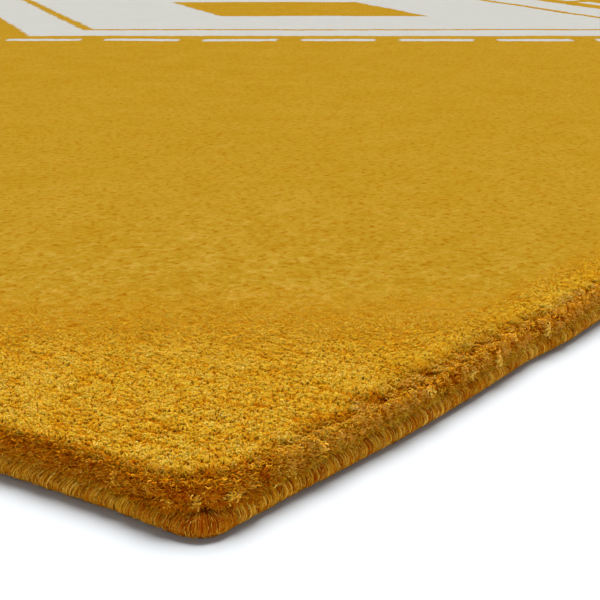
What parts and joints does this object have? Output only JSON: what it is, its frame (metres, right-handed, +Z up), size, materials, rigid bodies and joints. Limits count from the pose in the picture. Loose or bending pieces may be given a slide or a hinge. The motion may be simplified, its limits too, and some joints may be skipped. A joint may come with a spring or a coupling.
{
  "type": "wool rug",
  "caption": "Flat rectangular cut-pile rug with a rolled pile rim and an overcast yarn edge along its sides.",
  "frame": {"origin": "middle of the underside, on the floor", "axes": "+X along the rug's length, +Y across its width, +Z up out of the pile"},
  "size_m": [2.4012, 1.7036, 0.0135],
  "materials": {
    "wool_pile": "matt sheared wool, mustard yellow with a cream design",
    "overcast_yarn": "matt twisted wool yarn, mustard brown"
  },
  "bodies": {
    "root": {"pile_field": "wool_pile", "edge_binding_front": "overcast_yarn", "edge_binding_right": "overcast_yarn", "edge_binding_back": "overcast_yarn", "edge_binding_left": "overcast_yarn"}
  },
  "joints": []
}
